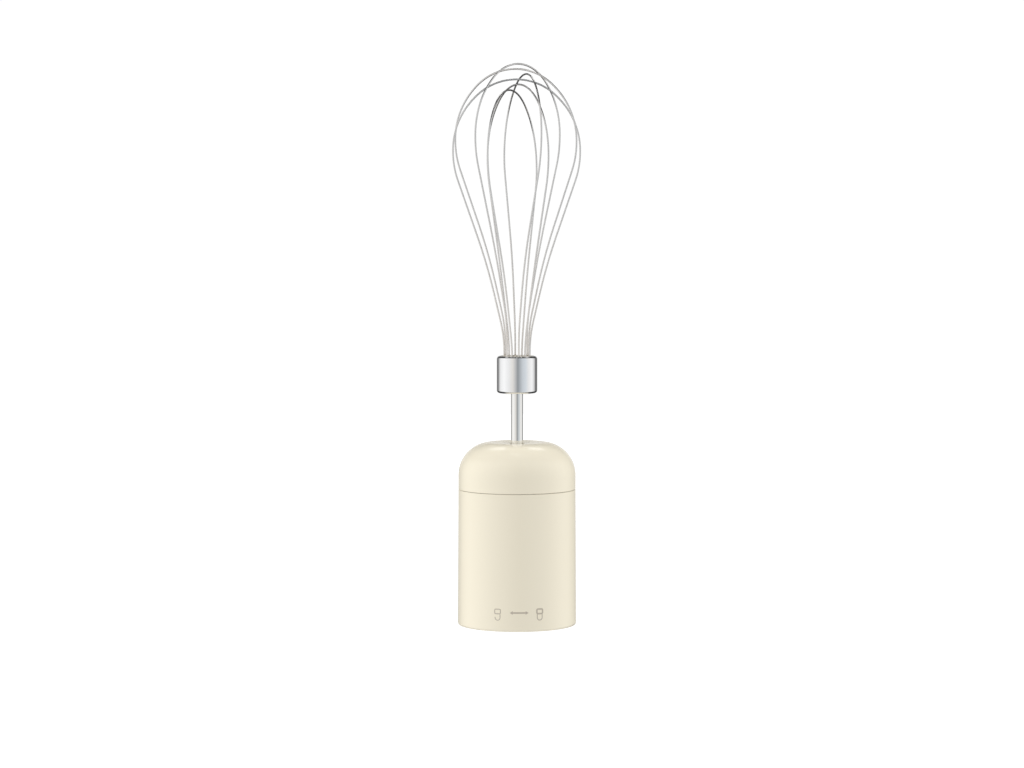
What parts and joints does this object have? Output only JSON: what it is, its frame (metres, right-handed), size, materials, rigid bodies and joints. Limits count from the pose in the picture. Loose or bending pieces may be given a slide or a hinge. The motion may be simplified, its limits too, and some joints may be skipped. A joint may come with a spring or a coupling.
{
  "type": "immersion blender whisk attachment",
  "caption": "Balloon whisk on a polished steel shaft, carried by a domed round gearbox coupling with a twist-lock socket that fits onto an immersion blender's motor.",
  "frame": {"origin": "centre of the coupling's rim, on the surface the part stands on", "axes": "+Z along the shaft from the rim to the tip of the whisk; -Y towards the side with the lock marks"},
  "size_m": [0.0644, 0.062, 0.2816],
  "materials": {
    "cream_plastic": "polished, warm cream",
    "inner_plastic": "moulded, unpolished",
    "gear_plastic": "natural acetal, satin",
    "carrier_plastic": "glass-filled nylon, matt",
    "drive_plastic": "black nylon, satin",
    "seal_rubber": "grey silicone",
    "bush_bronze": "sintered bronze",
    "screw_steel": "zinc plated",
    "ground_steel": "ground",
    "spring_steel": "drawn wire",
    "polished_steel": "polished stainless steel",
    "wire_steel": "bright drawn stainless wire"
  },
  "bodies": {
    "housing": {"housing_sleeve": "cream_plastic", "dome_cap": "cream_plastic", "seam_gasket": "seal_rubber", "bayonet_ring": "inner_plastic", "gearbox_floor": "inner_plastic", "ring_gear": "gear_plastic", "clamp_screws": "screw_steel", "input_bush": "bush_bronze", "lower_hub_bush": "bush_bronze", "upper_hub_bush": "bush_bronze", "shaft_seal": "seal_rubber", "sun_washer": "gear_plastic", "hub_washer": "gear_plastic"},
    "carrier": {"carrier_plate": "carrier_plastic", "carrier_screws": "screw_steel", "carrier_hub": "carrier_plastic", "planet_pins": "ground_steel", "hub_circlip": "spring_steel", "whisk_clip": "spring_steel"},
    "input": {"drive_socket": "drive_plastic", "input_shaft": "ground_steel", "sun_gear": "ground_steel"},
    "planet_1": {"planet_gear_1": "gear_plastic"},
    "planet_2": {"planet_gear_2": "gear_plastic"},
    "planet_3": {"planet_gear_3": "gear_plastic"},
    "whisk": {"whisk_shaft": "polished_steel", "ferrule": "polished_steel", "wire_holder": "inner_plastic", "whisk_wire_1": "wire_steel", "whisk_wire_2": "wire_steel", "whisk_wire_3": "wire_steel", "whisk_wire_4": "wire_steel", "whisk_wire_5": "wire_steel", "whisk_wire_6": "wire_steel"}
  },
  "joints": [
    {"name": "whisk_spin", "type": "hinge", "parent": "housing", "child": "carrier", "pos_m": [0, 0, 0.07], "axis": [0, 0, 1], "continuous": true},
    {"name": "whisk_pull", "type": "slide", "parent": "carrier", "child": "whisk", "axis": [0, 0, 1], "range_m": [0, 0.04], "deforming": ["whisk_clip"]},
    {"name": "input_spin", "type": "hinge", "parent": "housing", "child": "input", "pos_m": [0, 0, 0.035], "axis": [0, 0, 1], "continuous": true},
    {"name": "planet_1_spin", "type": "hinge", "parent": "carrier", "child": "planet_1", "pos_m": [0.0126, 0, 0.047], "axis": [0, 0, 1], "continuous": true},
    {"name": "planet_2_spin", "type": "hinge", "parent": "carrier", "child": "planet_2", "pos_m": [-0.0063, 0.01091, 0.047], "axis": [0, 0, 1], "continuous": true},
    {"name": "planet_3_spin", "type": "hinge", "parent": "carrier", "child": "planet_3", "pos_m": [-0.0063, -0.01091, 0.047], "axis": [0, 0, 1], "continuous": true}
  ],
  "couplings": [
    {"joint": "input_spin", "follows": "whisk_spin", "ratio": 6},
    {"joint": "planet_1_spin", "follows": "whisk_spin", "ratio": -2.5},
    {"joint": "planet_2_spin", "follows": "whisk_spin", "ratio": -2.5},
    {"joint": "planet_3_spin", "follows": "whisk_spin", "ratio": -2.5}
  ]
}
